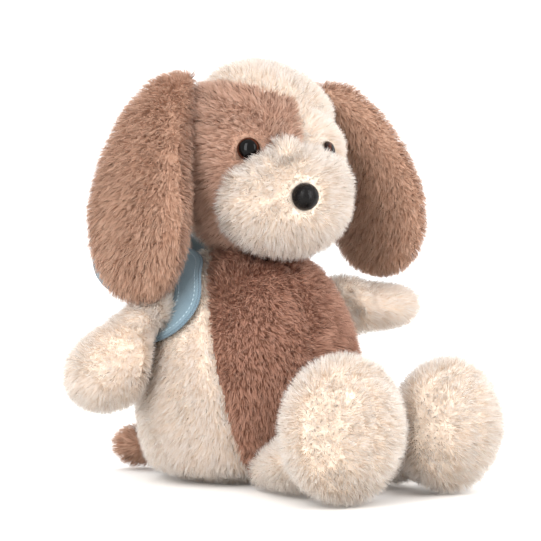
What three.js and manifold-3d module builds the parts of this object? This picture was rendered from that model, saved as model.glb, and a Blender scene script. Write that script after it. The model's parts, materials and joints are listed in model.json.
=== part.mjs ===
// Seated plush dog with a small backpack.
// Millimetres, +Z up. The dog faces -Y, its right side is -X, and the origin is the middle of the seat.

import * as THREE from 'three';
import { mergeVertices } from 'three/addons/utils/BufferGeometryUtils.js';
import Module from 'manifold-3d';

const wasm = await Module();
wasm.setup();

// ---- driving dimensions ----------------------------------------------------------------------

const PILE = 6; // plush fabric: its pile and its knitted backing together
const SEAM_GAP = 0.3; // between two pieces that are sewn or pressed together
const RUNNING_GAP = 0.8; // between two bodies that turn past each other

const SEAT_RADIUS = 46;
const TORSO_DEPTH_RATIO = 0.9; // front-to-back size of the torso over its width
const TORSO_PROFILE = [[57.5, 7], [64, 24], [66.5, 45], [66, 66], [60, 86], [51, 104], [42, 116], [32, 122], [27.5, 128]];
const NECK = { radius: 26, top: 133 };
const BELLY_HALF_ANGLE = 55; // degrees each side of straight ahead, half way up
const BELLY_TAPER = 0.3; // how far the belly's side seams move back for each millimetre up
const BELLY_MIDDLE = 66;
const BASE_PANEL_HEIGHT = 6.5;
const PELLET_BAG = { centre: [0, 0, 22], semi: [42, 38, 14], restsOn: [30, 27] };

const HEAD = { centre: [0, -5, 180], semi: [52, 48, 53], yaw: -9 };
const FACE_SEAM = 5; // how far the seam between the brown and the cream face lies to the dog's left
const CROWN_SEAM = { height: 27, slope: 17 }; // above the head's centre, and in degrees up to the dog's right
const EAR_SEAM = 8; // how far behind the head's centre the back panel starts
const MUZZLE = { forward: 31, drop: 26, semi: [42, 28, 35], taper: 0.5 };
const EYE = { azimuth: 33, reach: 43.6, drop: 2.5, radius: 6, height: 5 };
const NOSE = { reach: 54, drop: 28, radius: 7.2, height: 8 };
const SHANK = { radius: 2, length: 9 };
const WASHER = { radius: 6.5, thickness: 1.6, depth: 3.4 };

const EAR_SWING = [0, 35];
const ARM_SWING = [-20, 20];
const LEG_LIFT = [0, 25];
const TAIL_WAG = [-15, 15];
const SWEEP_STEP = 17.5; // degrees, at most, between the places where a moving body is cut clear
const INNER = { around: 12, along: 7 }; // facets of the hidden inner faces
const OUTER = { around: 20, along: 11 };

const CREAM = 0xeedcc4;
const TAUPE = 0xb9967f;
const PATCH_BROWN = 0xaf8773;
const BELLY_BROWN = 0x8c6453;
const PALE_BLUE = 0x8fa9b8;
const BLACK = 0x0c0a0a;
const STUFFING_WHITE = 0xf4f2ec;
const WASHER_GREY = 0xd8d8d4;

// ---- solids ----------------------------------------------------------------------------------

const UP = new THREE.Vector3(0, 0, 1);
const FAR = 200; // beyond every piece
const [X, Y, Z] = [0, 1, 2];

function solidFrom(geometry) {
  const bare = geometry.index ? geometry.toNonIndexed() : geometry.clone();
  bare.deleteAttribute('normal');
  bare.deleteAttribute('uv');
  const merged = mergeVertices(bare, 1e-4);
  const mesh = new wasm.Mesh({
    numProp: 3,
    vertProperties: Float32Array.from(merged.attributes.position.array),
    triVerts: Uint32Array.from(merged.index.array),
  });
  return new wasm.Manifold(mesh);
}

function geometryFrom(solid) {
  const mesh = solid.getMesh();
  const geometry = new THREE.BufferGeometry();
  geometry.setAttribute('position', new THREE.BufferAttribute(Float32Array.from(mesh.vertProperties), 3));
  geometry.setIndex(new THREE.BufferAttribute(Uint32Array.from(mesh.triVerts), 1));
  geometry.computeVertexNormals();
  return geometry;
}

function box([x0, y0, z0], [x1, y1, z1]) {
  const geometry = new THREE.BoxGeometry(x1 - x0, y1 - y0, z1 - z0);
  geometry.translate((x0 + x1) / 2, (y0 + y1) / 2, (z0 + z1) / 2);
  return solidFrom(geometry);
}

// All the space between two values of one coordinate.
function slab(axis, from, to) {
  const low = [-FAR, -FAR, -FAR];
  const high = [FAR, FAR, FAR];
  low[axis] = from;
  high[axis] = to;
  return box(low, high);
}

function facets(inset) {
  return inset > 0 ? INNER : OUTER;
}

function ellipsoid(centre, semi, inset = 0) {
  const { around, along } = facets(inset);
  const geometry = new THREE.SphereGeometry(1, around, along);
  geometry.rotateX(Math.PI / 2);
  geometry.scale(semi[0] - inset, semi[1] - inset, semi[2] - inset);
  geometry.translate(...centre);
  return solidFrom(geometry);
}

function turned(profile, segments) {
  const geometry = new THREE.LatheGeometry(profile.map(([r, z]) => new THREE.Vector2(r, z)), segments);
  geometry.rotateX(Math.PI / 2);
  return solidFrom(geometry);
}

// A round bar from one point along a direction.
function bar(start, direction, radius, length, segments = 14) {
  const geometry = new THREE.CylinderGeometry(radius, radius, length, segments);
  geometry.translate(0, length / 2, 0);
  const turn = new THREE.Quaternion().setFromUnitVectors(new THREE.Vector3(0, 1, 0), direction.clone().normalize());
  geometry.applyQuaternion(turn);
  geometry.translate(start.x, start.y, start.z);
  return solidFrom(geometry);
}

// A closed stuffed form along a path. Each entry of sizes is the half width and half thickness there.
function stuffedForm({ path, sizes, across, bluntness = 2.6 }, inset = 0) {
  const steps = inset > 0 ? 7 : 10;
  const segments = inset > 0 ? 8 : 14;
  const centreLine = new THREE.CatmullRomCurve3(path.map((p) => new THREE.Vector3(...p)));
  const sizeLine = new THREE.CatmullRomCurve3(sizes.map(([w, t]) => new THREE.Vector3(w, t, 0)));
  const shorten = inset / centreLine.getLength();
  const positions = [];
  const rings = [];
  for (let i = 1; i < steps; i += 1) {
    const run = (1 - Math.cos((Math.PI * i) / steps)) / 2;
    const s = shorten + run * (1 - 2 * shorten);
    const round = (1 - Math.abs(2 * run - 1) ** bluntness) ** (1 / bluntness);
    const centre = centreLine.getPoint(s);
    const tangent = centreLine.getTangent(s);
    const thick = new THREE.Vector3().crossVectors(tangent, new THREE.Vector3(...across)).normalize();
    const wide = new THREE.Vector3().crossVectors(thick, tangent);
    const size = sizeLine.getPoint(s);
    const ring = [];
    for (let j = 0; j < segments; j += 1) {
      const angle = (2 * Math.PI * j) / segments;
      const point = centre.clone();
      point.addScaledVector(wide, (size.x - inset) * round * Math.cos(angle));
      point.addScaledVector(thick, (size.y - inset) * round * Math.sin(angle));
      ring.push(positions.length / 3);
      positions.push(point.x, point.y, point.z);
    }
    rings.push(ring);
  }
  const ends = [shorten, 1 - shorten].map((s) => {
    const end = centreLine.getPoint(s);
    positions.push(end.x, end.y, end.z);
    return positions.length / 3 - 1;
  });
  const index = [];
  for (let j = 0; j < segments; j += 1) {
    const next = (j + 1) % segments;
    index.push(ends[0], rings[0][next], rings[0][j]);
    for (let i = 0; i + 1 < rings.length; i += 1) {
      index.push(rings[i][j], rings[i + 1][next], rings[i + 1][j]);
      index.push(rings[i][j], rings[i][next], rings[i + 1][next]);
    }
    index.push(ends[1], rings.at(-1)[j], rings.at(-1)[next]);
  }
  const geometry = new THREE.BufferGeometry();
  geometry.setAttribute('position', new THREE.Float32BufferAttribute(positions, 3));
  geometry.setIndex(index);
  return solidFrom(geometry);
}

// A flat webbing band that lies along a list of points, each with the direction that its face looks.
function webbing(stations, width, thickness, grow = 0) {
  const pathLine = new THREE.CatmullRomCurve3(stations.map(({ at }) => at));
  const faceLine = new THREE.CatmullRomCurve3(stations.map(({ face }) => face));
  const steps = 24;
  const positions = [];
  const index = [];
  for (let i = 0; i <= steps; i += 1) {
    const s = i / steps;
    const centre = pathLine.getPoint(s);
    const tangent = pathLine.getTangent(s);
    const side = new THREE.Vector3().crossVectors(faceLine.getPoint(s), tangent).normalize();
    const face = new THREE.Vector3().crossVectors(tangent, side);
    for (const [w, t] of [[-1, -1], [1, -1], [1, 1], [-1, 1]]) {
      const point = centre.clone();
      point.addScaledVector(side, w * (width / 2 + grow));
      point.addScaledVector(face, t * (thickness / 2 + grow));
      positions.push(point.x, point.y, point.z);
    }
    if (i < steps) {
      for (let j = 0; j < 4; j += 1) {
        const a = 4 * i + j;
        const b = 4 * i + ((j + 1) % 4);
        index.push(a, b, b + 4, a, b + 4, a + 4);
      }
    }
  }
  const last = 4 * steps;
  index.push(0, 2, 1, 0, 3, 2, last, last + 1, last + 2, last, last + 2, last + 3);
  const geometry = new THREE.BufferGeometry();
  geometry.setAttribute('position', new THREE.Float32BufferAttribute(positions, 3));
  geometry.setIndex(index);
  return solidFrom(geometry);
}

// The sector between two headings, in degrees from straight ahead towards the dog's right.
function sector(from, to) {
  const heading = (degrees) => {
    const angle = THREE.MathUtils.degToRad(degrees);
    return new THREE.Vector2(-Math.sin(angle), -Math.cos(angle));
  };
  const halfAngle = THREE.MathUtils.degToRad((to - from) / 2);
  const apex = heading((from + to) / 2).multiplyScalar(SEAM_GAP / 2 / Math.sin(halfAngle));
  const outline = [apex];
  for (let i = 0; i <= 4; i += 1) {
    outline.push(heading(from + ((to - from) * i) / 4).multiplyScalar(FAR).add(apex));
  }
  const shape = new THREE.Shape(outline);
  const geometry = new THREE.ExtrudeGeometry(shape, { depth: FAR, bevelEnabled: false });
  const lean = new THREE.Matrix4().makeShear(0, 0, 0, 0, 0, BELLY_TAPER);
  geometry.applyMatrix4(lean);
  geometry.translate(0, -BELLY_TAPER * BELLY_MIDDLE, 0);
  return solidFrom(geometry);
}

function turnedAbout(solid, pivot, axis, degrees) {
  const matrix = new THREE.Matrix4().makeTranslation(...pivot);
  matrix.multiply(new THREE.Matrix4().makeRotationAxis(new THREE.Vector3(...axis), THREE.MathUtils.degToRad(degrees)));
  matrix.multiply(new THREE.Matrix4().makeTranslation(...pivot.map((v) => -v)));
  return solid.transform(matrix.elements);
}

// Cuts away what a moving body would push into a fixed neighbour anywhere in its range.
function sweptClear(moving, fixed, pivot, axis, [low, high], step = SWEEP_STEP) {
  const places = Math.ceil((high - low) / step);
  let left = moving;
  for (let place = 0; place <= places; place += 1) {
    const angle = low + ((high - low) * place) / places;
    left = left.subtract(turnedAbout(fixed, pivot, axis, -angle));
  }
  return left;
}

// ---- scene helpers ---------------------------------------------------------------------------

const dog = new THREE.Group();

function addPiece(name, solid, color, roughness = 0.95) {
  const parts = solid.decompose();
  const largest = parts.reduce((best, part) => (part.volume() > best.volume() ? part : best));
  const material = new THREE.MeshStandardMaterial({ color, roughness, metalness: 0 });
  const mesh = new THREE.Mesh(geometryFrom(largest), material);
  mesh.name = name;
  dog.add(mesh);
}

// ---- torso -----------------------------------------------------------------------------------

const torsoOutline = new THREE.SplineCurve(
  [[SEAT_RADIUS, 0], ...TORSO_PROFILE, [NECK.radius, NECK.top]].map(([r, z]) => new THREE.Vector2(r, z)),
);

function torsoSolid(inset, depthRatio = TORSO_DEPTH_RATIO) {
  const { around, along } = facets(inset);
  const side = torsoOutline.getPoints(along + 2).map(({ x, y }) => {
    return [x - inset, Math.min(Math.max(y, inset), NECK.top - inset)];
  });
  const solid = turned([[0, inset], ...side, [0, NECK.top - inset]], around + 8);
  return solid.scale([1, depthRatio, 1]);
}

// A place on the torso at a height and a heading from straight ahead, and the way its surface looks.
function torsoPlace(heading, z, lift) {
  const rows = torsoOutline.getPoints(200);
  const row = rows.findIndex(({ y }) => y >= z);
  const slope = rows[row].clone().sub(rows[row - 1]);
  const angle = THREE.MathUtils.degToRad(heading);
  const outward = new THREE.Vector3(Math.sin(angle), -Math.cos(angle) / TORSO_DEPTH_RATIO, -slope.x / slope.y);
  outward.normalize();
  const at = new THREE.Vector3(Math.sin(angle), -Math.cos(angle) * TORSO_DEPTH_RATIO, 0).multiplyScalar(rows[row].x);
  at.z = z;
  return { at: at.addScaledVector(outward, lift), face: outward };
}

const torsoKeepOut = torsoSolid(-RUNNING_GAP);
const neckKeepOut = torsoSolid(-RUNNING_GAP, 1);

function addTorso() {
  const neckHole = bar(new THREE.Vector3(0, 0, NECK.top - 2 * PILE), UP, NECK.radius - PILE, 3 * PILE, 16);
  const fabric = torsoSolid(0).subtract(torsoSolid(PILE)).subtract(neckHole);
  const sides = fabric.intersect(slab(Z, BASE_PANEL_HEIGHT + SEAM_GAP, FAR));
  const panels = [
    ['belly_panel_right', 0, BELLY_HALF_ANGLE, BELLY_BROWN],
    ['side_panel_right', BELLY_HALF_ANGLE, 180, CREAM],
    ['side_panel_left', 180, 360 - BELLY_HALF_ANGLE, CREAM],
    ['belly_panel_left', 360 - BELLY_HALF_ANGLE, 360, BELLY_BROWN],
  ];
  for (const [name, from, to, color] of panels) {
    addPiece(name, sides.intersect(sector(from, to)), color);
  }
  addPiece('base_panel', fabric.intersect(slab(Z, -FAR, BASE_PANEL_HEIGHT)), CREAM);

  const { centre, semi, restsOn: [halfWidth, halfDepth] } = PELLET_BAG;
  const stuffing = torsoSolid(PILE + SEAM_GAP);
  const bagSpace = ellipsoid(centre, semi, -SEAM_GAP);
  const underBag = box([-halfWidth, -halfDepth, 0], [halfWidth, halfDepth, centre[Z]]);
  addPiece('torso_stuffing', stuffing.subtract(bagSpace).subtract(underBag), STUFFING_WHITE);
  addPiece('pellet_bag', ellipsoid(centre, semi), STUFFING_WHITE, 0.6);
}

// ---- backpack --------------------------------------------------------------------------------

const BAG = { x: [-53, 47], y: [48, 88], z: [102, 150], cornerRadius: 22, wall: 1.6 };
const STRAP = { width: 17, thickness: 2, lift: 2.4 };

// A strap leaves the top of the bag, runs round the torso as (heading, height) places over the shoulder,
// down in front of the arm and under it, and comes back to the bag.
const STRAP_TOP = { at: [28, BAG.y[0] - STRAP.thickness, 133], face: [0, -0.4, 1] };
const STRAP_SHOULDER = { at: [33, 29, 128], face: [0.2, 0.1, 1] };
const STRAP_ROUTE = [[98, 118], [86, 112], [79, 104], [75, 95], [77, 86], [86, 79], [101, 76], [120, 80], [139, 94]];
const STRAP_END = { at: [24, BAG.y[0] - STRAP.thickness, 108], face: [0.3, 0.9, -0.3] };

function strapStations(side) {
  const given = ({ at, face }) => ({ at: new THREE.Vector3(...at), face: new THREE.Vector3(...face) });
  const stations = [
    given(STRAP_TOP),
    given(STRAP_SHOULDER),
    ...STRAP_ROUTE.map(([heading, z]) => torsoPlace(heading, z, STRAP.lift)),
    given(STRAP_END),
  ];
  const mirror = new THREE.Vector3(side, 1, 1);
  return stations.map(({ at, face }) => ({ at: at.clone().multiply(mirror), face: face.clone().multiply(mirror) }));
}

function strapSolid(side, grow = 0) {
  return webbing(strapStations(side), STRAP.width, STRAP.thickness, grow);
}

function bagSolid(inset, [front, back]) {
  const [x0, x1] = [BAG.x[0] + inset, BAG.x[1] - inset];
  const [z0, z1] = [BAG.z[0] + inset, BAG.z[1] - inset];
  const r = BAG.cornerRadius - inset;
  const quarter = Math.PI / 2;
  const shape = new THREE.Shape();
  shape.absarc(x1 - r, z1 - r, r, 0, quarter, false);
  shape.absarc(x0 + r, z1 - r, r, quarter, 2 * quarter, false);
  shape.absarc(x0 + r, z0 + r, r, 2 * quarter, 3 * quarter, false);
  shape.absarc(x1 - r, z0 + r, r, 3 * quarter, 4 * quarter, false);
  const geometry = new THREE.ExtrudeGeometry(shape, { depth: back - front, bevelEnabled: false, curveSegments: 5 });
  geometry.rotateX(quarter);
  geometry.translate(0, back, 0);
  return solidFrom(geometry);
}

function addBackpack() {
  const { wall } = BAG;
  const [front, back] = BAG.y;
  const straps = strapSolid(1, SEAM_GAP).add(strapSolid(-1, SEAM_GAP)).add(torsoSolid(-SEAM_GAP));
  const hem = front + wall;
  addPiece('bag_back_panel', bagSolid(0, [front, hem]).subtract(straps), PALE_BLUE);
  const tube = bagSolid(0, [hem + SEAM_GAP, back - wall - SEAM_GAP]);
  const hollow = bagSolid(wall, [front, back]);
  addPiece('bag_gusset', tube.subtract(hollow).subtract(straps), PALE_BLUE);
  addPiece('bag_front_panel', bagSolid(0, [back - wall, back]), PALE_BLUE);
  const filling = bagSolid(wall + SEAM_GAP, [hem + SEAM_GAP, back - wall - SEAM_GAP]);
  addPiece('bag_stuffing', filling.subtract(straps), STUFFING_WHITE);
  addPiece('strap_right', strapSolid(-1).subtract(torsoSolid(-SEAM_GAP)), PALE_BLUE);
  addPiece('strap_left', strapSolid(1).subtract(torsoSolid(-SEAM_GAP)), PALE_BLUE);
}

// ---- head ------------------------------------------------------------------------------------

const headTurn = new THREE.Matrix4().makeTranslation(...HEAD.centre);
headTurn.multiply(new THREE.Matrix4().makeRotationZ(THREE.MathUtils.degToRad(HEAD.yaw)));

// Pieces of the head are drawn about the head's own centre, looking along -Y, then turned into place.
function ontoHead(solid) {
  return solid.transform(headTurn.elements);
}

function headSolid(inset) {
  return ellipsoid([0, 0, 0], HEAD.semi, inset);
}

// The muzzle narrows towards its top, where it lies between the eyes.
function muzzleSolid(inset) {
  const tapered = ellipsoid([0, 0, 0], MUZZLE.semi, inset).warp((point) => {
    point[X] *= 1 - (MUZZLE.taper * Math.max(0, point[Z])) / MUZZLE.semi[Z];
  });
  return tapered.translate([0, -MUZZLE.forward, -MUZZLE.drop]);
}

// A safety button is a dome on a shank, which a washer holds from inside the fabric.
function button({ radius, height }, seat, outward) {
  const dome = new THREE.SphereGeometry(1, 16, 12);
  dome.scale(radius, height, radius);
  const turn = new THREE.Quaternion().setFromUnitVectors(new THREE.Vector3(0, 1, 0), outward);
  dome.applyQuaternion(turn);
  dome.translate(seat.x, seat.y, seat.z);
  const front = bar(seat, outward, radius + 1, height + 1);
  const shank = bar(seat.clone().addScaledVector(outward, -SHANK.length), outward, SHANK.radius, SHANK.length + 1, 8);
  return solidFrom(dome).intersect(front).add(shank);
}

function washer(seat, outward) {
  const back = seat.clone().addScaledVector(outward, -WASHER.depth - WASHER.thickness);
  const disc = bar(back, outward, WASHER.radius, WASHER.thickness, 16);
  return disc.subtract(bar(back.clone().addScaledVector(outward, -1), outward, SHANK.radius + SEAM_GAP, 4, 8));
}

// The room that a button needs: a parted place in the pile, a hole for the shank and a pocket behind.
function buttonRoom({ radius, height }, seat, outward) {
  const pile = bar(seat.clone().addScaledVector(outward, -SEAM_GAP), outward, radius + 2 * SEAM_GAP, height + PILE * 2);
  const inner = seat.clone().addScaledVector(outward, -SHANK.length - SEAM_GAP);
  const shank = bar(inner, outward, SHANK.radius + SEAM_GAP, SHANK.length + 2, 8);
  const behind = bar(inner, outward, WASHER.radius + 2 * SEAM_GAP, SHANK.length - WASHER.depth + 2 * SEAM_GAP, 12);
  return pile.add(shank).add(behind);
}

const EYES = [['right', -1], ['left', 1]].map(([name, side]) => {
  const heading = THREE.MathUtils.degToRad(EYE.azimuth);
  const outward = new THREE.Vector3(side * Math.sin(heading), -Math.cos(heading), 0);
  return { name, outward, seat: outward.clone().multiplyScalar(EYE.reach).add(new THREE.Vector3(0, 0, -EYE.drop)) };
});
const NOSE_OUTWARD = new THREE.Vector3(0, -1, 0);
const NOSE_SEAT = new THREE.Vector3(0, -NOSE.reach, -NOSE.drop);

function addHead() {
  let fabric = headSolid(0).subtract(headSolid(PILE));
  let stuffing = headSolid(PILE + SEAM_GAP);
  let muzzle = muzzleSolid(0).subtract(headSolid(-SEAM_GAP));
  let muzzleStuffing = muzzleSolid(PILE + SEAM_GAP).subtract(headSolid(-SEAM_GAP));
  for (const { seat, outward } of EYES) {
    const room = buttonRoom(EYE, seat, outward);
    fabric = fabric.subtract(room);
    stuffing = stuffing.subtract(room);
    muzzle = muzzle.subtract(room);
    muzzleStuffing = muzzleStuffing.subtract(room);
  }
  const noseRoom = buttonRoom(NOSE, NOSE_SEAT, NOSE_OUTWARD);
  const muzzleSkin = muzzle.subtract(muzzleSolid(PILE)).subtract(noseRoom);
  muzzleStuffing = muzzleStuffing.subtract(noseRoom);

  const front = slab(Y, -FAR, EAR_SEAM);
  const behind = slab(Y, EAR_SEAM + SEAM_GAP, FAR);
  const below = slab(Z, -FAR, CROWN_SEAM.height).rotate([0, CROWN_SEAM.slope, 0]);
  const above = slab(Z, CROWN_SEAM.height + SEAM_GAP, FAR).rotate([0, CROWN_SEAM.slope, 0]);
  const onRight = slab(X, -FAR, FACE_SEAM - SEAM_GAP);
  const onLeft = slab(X, FACE_SEAM, FAR);
  const clear = (solid) => ontoHead(solid).subtract(neckKeepOut);

  addPiece('face_panel_right', clear(fabric.intersect(front).intersect(below).intersect(onRight)), PATCH_BROWN);
  addPiece('face_panel_left', clear(fabric.intersect(front).intersect(below).intersect(onLeft)), CREAM);
  addPiece('crown_panel', clear(fabric.intersect(front).intersect(above)), CREAM);
  addPiece('head_back_panel', clear(fabric.intersect(behind)), CREAM);
  addPiece('head_stuffing', clear(stuffing), STUFFING_WHITE);
  addPiece('muzzle_panel', clear(muzzleSkin), CREAM);
  addPiece('muzzle_stuffing', clear(muzzleStuffing), STUFFING_WHITE);
  for (const { name, seat, outward } of EYES) {
    addPiece(`eye_${name}`, ontoHead(button(EYE, seat, outward)), BLACK, 0.08);
    addPiece(`eye_washer_${name}`, ontoHead(washer(seat, outward)), WASHER_GREY, 0.5);
  }
  addPiece('nose', ontoHead(button(NOSE, NOSE_SEAT, NOSE_OUTWARD)), BLACK, 0.15);
  addPiece('nose_washer', ontoHead(washer(NOSE_SEAT, NOSE_OUTWARD)), WASHER_GREY, 0.5);
}

// ---- ears ------------------------------------------------------------------------------------

// An ear is drawn hanging on the dog's right from its own root, out and down.
const EAR_FORM = {
  path: [[10, 0, -2], [-13, 0, -3], [-27, 0, -22], [-34, 0, -44], [-37, 0, -68], [-35, 0, -92], [-30, 0, -113]],
  sizes: [[13, 9], [19, 11], [27, 13], [35, 14], [40.5, 14.5], [40, 14.5], [30, 12]],
  across: [0, 1, 0],
  bluntness: 3,
};
const EARS = [
  { name: 'right', side: -1, root: [-36, 6, 213], flare: 0, turn: 8 },
  { name: 'left', side: 1, root: [37, -11, 214], flare: 16, turn: 9 },
];

function addEar({ name, side, root, flare, turn }) {
  const place = (solid) => {
    const facing = side < 0 ? solid : solid.mirror([1, 0, 0]);
    return facing.rotate([0, -side * flare, turn]).translate(root);
  };
  const hingeAxis = [0, 1, 0];
  const [low, high] = EAR_SWING;
  const swing = side < 0 ? [low, high] : [-high, -low];
  const keepOut = ontoHead(headSolid(-RUNNING_GAP));
  const clear = (solid) => sweptClear(place(solid), keepOut, root, hingeAxis, swing);
  const centreLine = new THREE.CatmullRomCurve3(EAR_FORM.path.map((p) => new THREE.Vector3(...p)));
  const seamSteps = 12;
  const seam = centreLine.getPoints(seamSteps).map(({ x, z }) => new THREE.Vector2(x, z));
  const outerSide = (shift) => {
    const outline = seam.map(({ x, y }) => new THREE.Vector2(x + shift, y - shift));
    outline.unshift(new THREE.Vector2(FAR, outline[0].y));
    outline.push(new THREE.Vector2(outline.at(-1).x, -FAR), new THREE.Vector2(-FAR, -FAR));
    outline.push(new THREE.Vector2(-FAR, FAR), new THREE.Vector2(FAR, FAR));
    const geometry = new THREE.ExtrudeGeometry(new THREE.Shape(outline), { depth: FAR, bevelEnabled: false });
    geometry.translate(0, 0, -FAR / 2);
    geometry.rotateX(Math.PI / 2);
    return solidFrom(geometry);
  };
  const fabric = stuffedForm(EAR_FORM).subtract(stuffedForm(EAR_FORM, PILE));
  addPiece(`ear_outer_panel_${name}`, clear(fabric.intersect(outerSide(0))), TAUPE);
  addPiece(`ear_inner_panel_${name}`, clear(fabric.subtract(outerSide(SEAM_GAP))), TAUPE);
  addPiece(`ear_stuffing_${name}`, clear(stuffedForm(EAR_FORM, PILE + SEAM_GAP)), STUFFING_WHITE);
}

// ---- arms ------------------------------------------------------------------------------------

const ARMS = [
  {
    name: 'right',
    side: -1,
    hinge: [-50, 7, 88],
    form: {
      path: [[-40, 7, 91], [-57, 6, 84], [-73, 8, 70], [-90, 13, 57], [-103, 15, 44.5]],
      sizes: [[13, 13], [17, 16], [23, 22], [25, 23.5], [21, 19]],
      across: [0, 1, 0],
    },
  },
  {
    name: 'left',
    side: 1,
    hinge: [50, 4, 94],
    form: {
      path: [[40, 6, 94], [57, 2, 94], [73, -5, 95], [93, -13, 95.5], [112, -19, 97]],
      sizes: [[13, 13], [16, 14], [19, 15], [22, 15.5], [20, 15]],
      across: [0, 1, 0],
    },
  },
];

function addArm({ name, side, hinge, form }) {
  const strapKeepOut = strapSolid(side, RUNNING_GAP);
  const clear = (solid) => {
    const clearOfTorso = sweptClear(solid, torsoKeepOut, hinge, [0, 0, 1], ARM_SWING);
    return sweptClear(clearOfTorso, strapKeepOut, hinge, [0, 0, 1], ARM_SWING, SWEEP_STEP / 3);
  };
  const outer = stuffedForm(form);
  addPiece(`arm_panel_${name}`, clear(outer.subtract(stuffedForm(form, PILE))), CREAM);
  addPiece(`arm_stuffing_${name}`, clear(stuffedForm(form, PILE + SEAM_GAP)), STUFFING_WHITE);
}

// ---- legs ------------------------------------------------------------------------------------

const FOOT = { semi: [35, 26, 36], soleDepth: 14 };
const LEGS = [
  { name: 'right', hinge: [-30, -47, 12], foot: [-35.5, -121, 36.5], scale: 1 },
  { name: 'left', hinge: [30, -47, 12], foot: [36, -119, 35], scale: 0.96 },
];
const LEG_SIZES = [[12, 10], [13, 11], [19, 16], [20, 20]]; // half width and half thickness, hip to foot
const HIP_DEPTH = 12; // how far the leg reaches back past its hinge, into the torso
const KNEE_RISE = 6; // how much higher than the hinge the middle of the leg is
const ANKLE_DROP = 8; // how far under the middle of the foot the leg meets it

function addLeg({ name, hinge, foot, scale }) {
  const semi = FOOT.semi.map((size) => size * scale);
  const [hx, hy, hz] = hinge;
  const [fx, fy, fz] = foot;
  const form = {
    path: [
      [hx, hy + HIP_DEPTH, hz - 1],
      [hx, hy - HIP_DEPTH, hz],
      [(hx + fx) / 2, (hy + fy) / 2, hz + KNEE_RISE],
      [fx, fy, fz - ANKLE_DROP],
    ],
    sizes: LEG_SIZES,
    across: [1, 0, 0],
  };
  const footAxis = [1, 0, 0];
  const lift = LEG_LIFT.map((angle) => -angle).reverse();
  const whole = (inset) => stuffedForm(form, inset).add(ellipsoid(foot, semi, inset));
  const clear = (solid) => sweptClear(solid, torsoKeepOut, hinge, footAxis, lift);
  const soleSeam = fy - semi[1] + FOOT.soleDepth;
  const fabric = whole(0).subtract(whole(PILE));
  addPiece(`leg_panel_${name}`, clear(fabric.intersect(slab(Y, soleSeam + SEAM_GAP, FAR))), CREAM);
  addPiece(`sole_panel_${name}`, clear(fabric.intersect(slab(Y, -FAR, soleSeam))), CREAM);
  addPiece(`leg_stuffing_${name}`, clear(whole(PILE + SEAM_GAP)), STUFFING_WHITE);
}

// ---- tail ------------------------------------------------------------------------------------

const TAIL = {
  hinge: [-10, 56, 14],
  form: {
    path: [[-4, 48, 14], [-16, 62, 14.5], [-29, 72, 14.5], [-42, 80, 15]],
    sizes: [[10, 10], [12, 12], [14, 13.5], [12, 12]],
    across: [0, 0, 1],
  },
};

function addTail({ hinge, form }) {
  const clear = (solid) => sweptClear(solid, torsoKeepOut, hinge, [0, 0, 1], TAIL_WAG);
  addPiece('tail_panel', clear(stuffedForm(form).subtract(stuffedForm(form, PILE))), TAUPE);
  addPiece('tail_stuffing', clear(stuffedForm(form, PILE + SEAM_GAP)), STUFFING_WHITE);
}

addTorso();
addBackpack();
addHead();
EARS.forEach(addEar);
ARMS.forEach(addArm);
LEGS.forEach(addLeg);
addTail(TAIL);

export default dog;
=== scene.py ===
"""The looks of a seated plush dog with a small backpack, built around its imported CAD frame.

Every stuffed form is a cloth skin that stands in for its CAD panels, and a pile of fine strands
that grows from the skin. Lengths are in metres, and the dog looks along -Y with +Z up.
"""

import json
import math

import bpy
import numpy as np
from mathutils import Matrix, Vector
from mathutils.bvhtree import BVHTree
from mathutils.kdtree import KDTree


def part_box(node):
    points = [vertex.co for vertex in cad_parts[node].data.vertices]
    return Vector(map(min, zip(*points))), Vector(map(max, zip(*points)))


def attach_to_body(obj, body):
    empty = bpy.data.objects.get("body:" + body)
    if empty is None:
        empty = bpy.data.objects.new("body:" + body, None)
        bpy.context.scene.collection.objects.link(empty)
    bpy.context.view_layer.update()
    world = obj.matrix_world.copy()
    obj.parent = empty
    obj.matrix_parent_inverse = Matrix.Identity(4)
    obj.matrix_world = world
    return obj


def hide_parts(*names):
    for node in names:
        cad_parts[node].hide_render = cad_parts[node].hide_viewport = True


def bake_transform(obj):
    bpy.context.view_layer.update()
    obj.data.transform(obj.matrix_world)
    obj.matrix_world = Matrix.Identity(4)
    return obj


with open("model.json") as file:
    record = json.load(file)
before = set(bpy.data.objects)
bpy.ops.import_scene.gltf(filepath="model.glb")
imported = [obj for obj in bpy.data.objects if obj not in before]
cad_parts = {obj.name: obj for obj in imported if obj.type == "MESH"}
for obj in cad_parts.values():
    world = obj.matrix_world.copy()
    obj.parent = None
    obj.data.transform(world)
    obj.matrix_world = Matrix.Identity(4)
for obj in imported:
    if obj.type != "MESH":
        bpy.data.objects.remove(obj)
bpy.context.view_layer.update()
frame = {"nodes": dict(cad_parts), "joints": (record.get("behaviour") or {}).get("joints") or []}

MM = 0.001
SEED = 20

# How the fabric is built up.
SKIN_DEPTH = 4.2 * MM  # from the CAD surface, which is the fur's own surface, to the backing
SWELL = 1.5 * MM  # how far the stuffing may press a skin outwards
SKIN_VOXEL = 3.6 * MM
PRESSURE = 4
CLOTH_QUALITY = 4
STUFFING_FRAMES = 20
SEAM_PULL = 1.8 * MM
SEAM_REACH = 5 * MM
FLOOR_CLEARANCE = 0.3 * MM
DEEPEST = 30 * MM  # no form is sewn deeper than this into another

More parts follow.
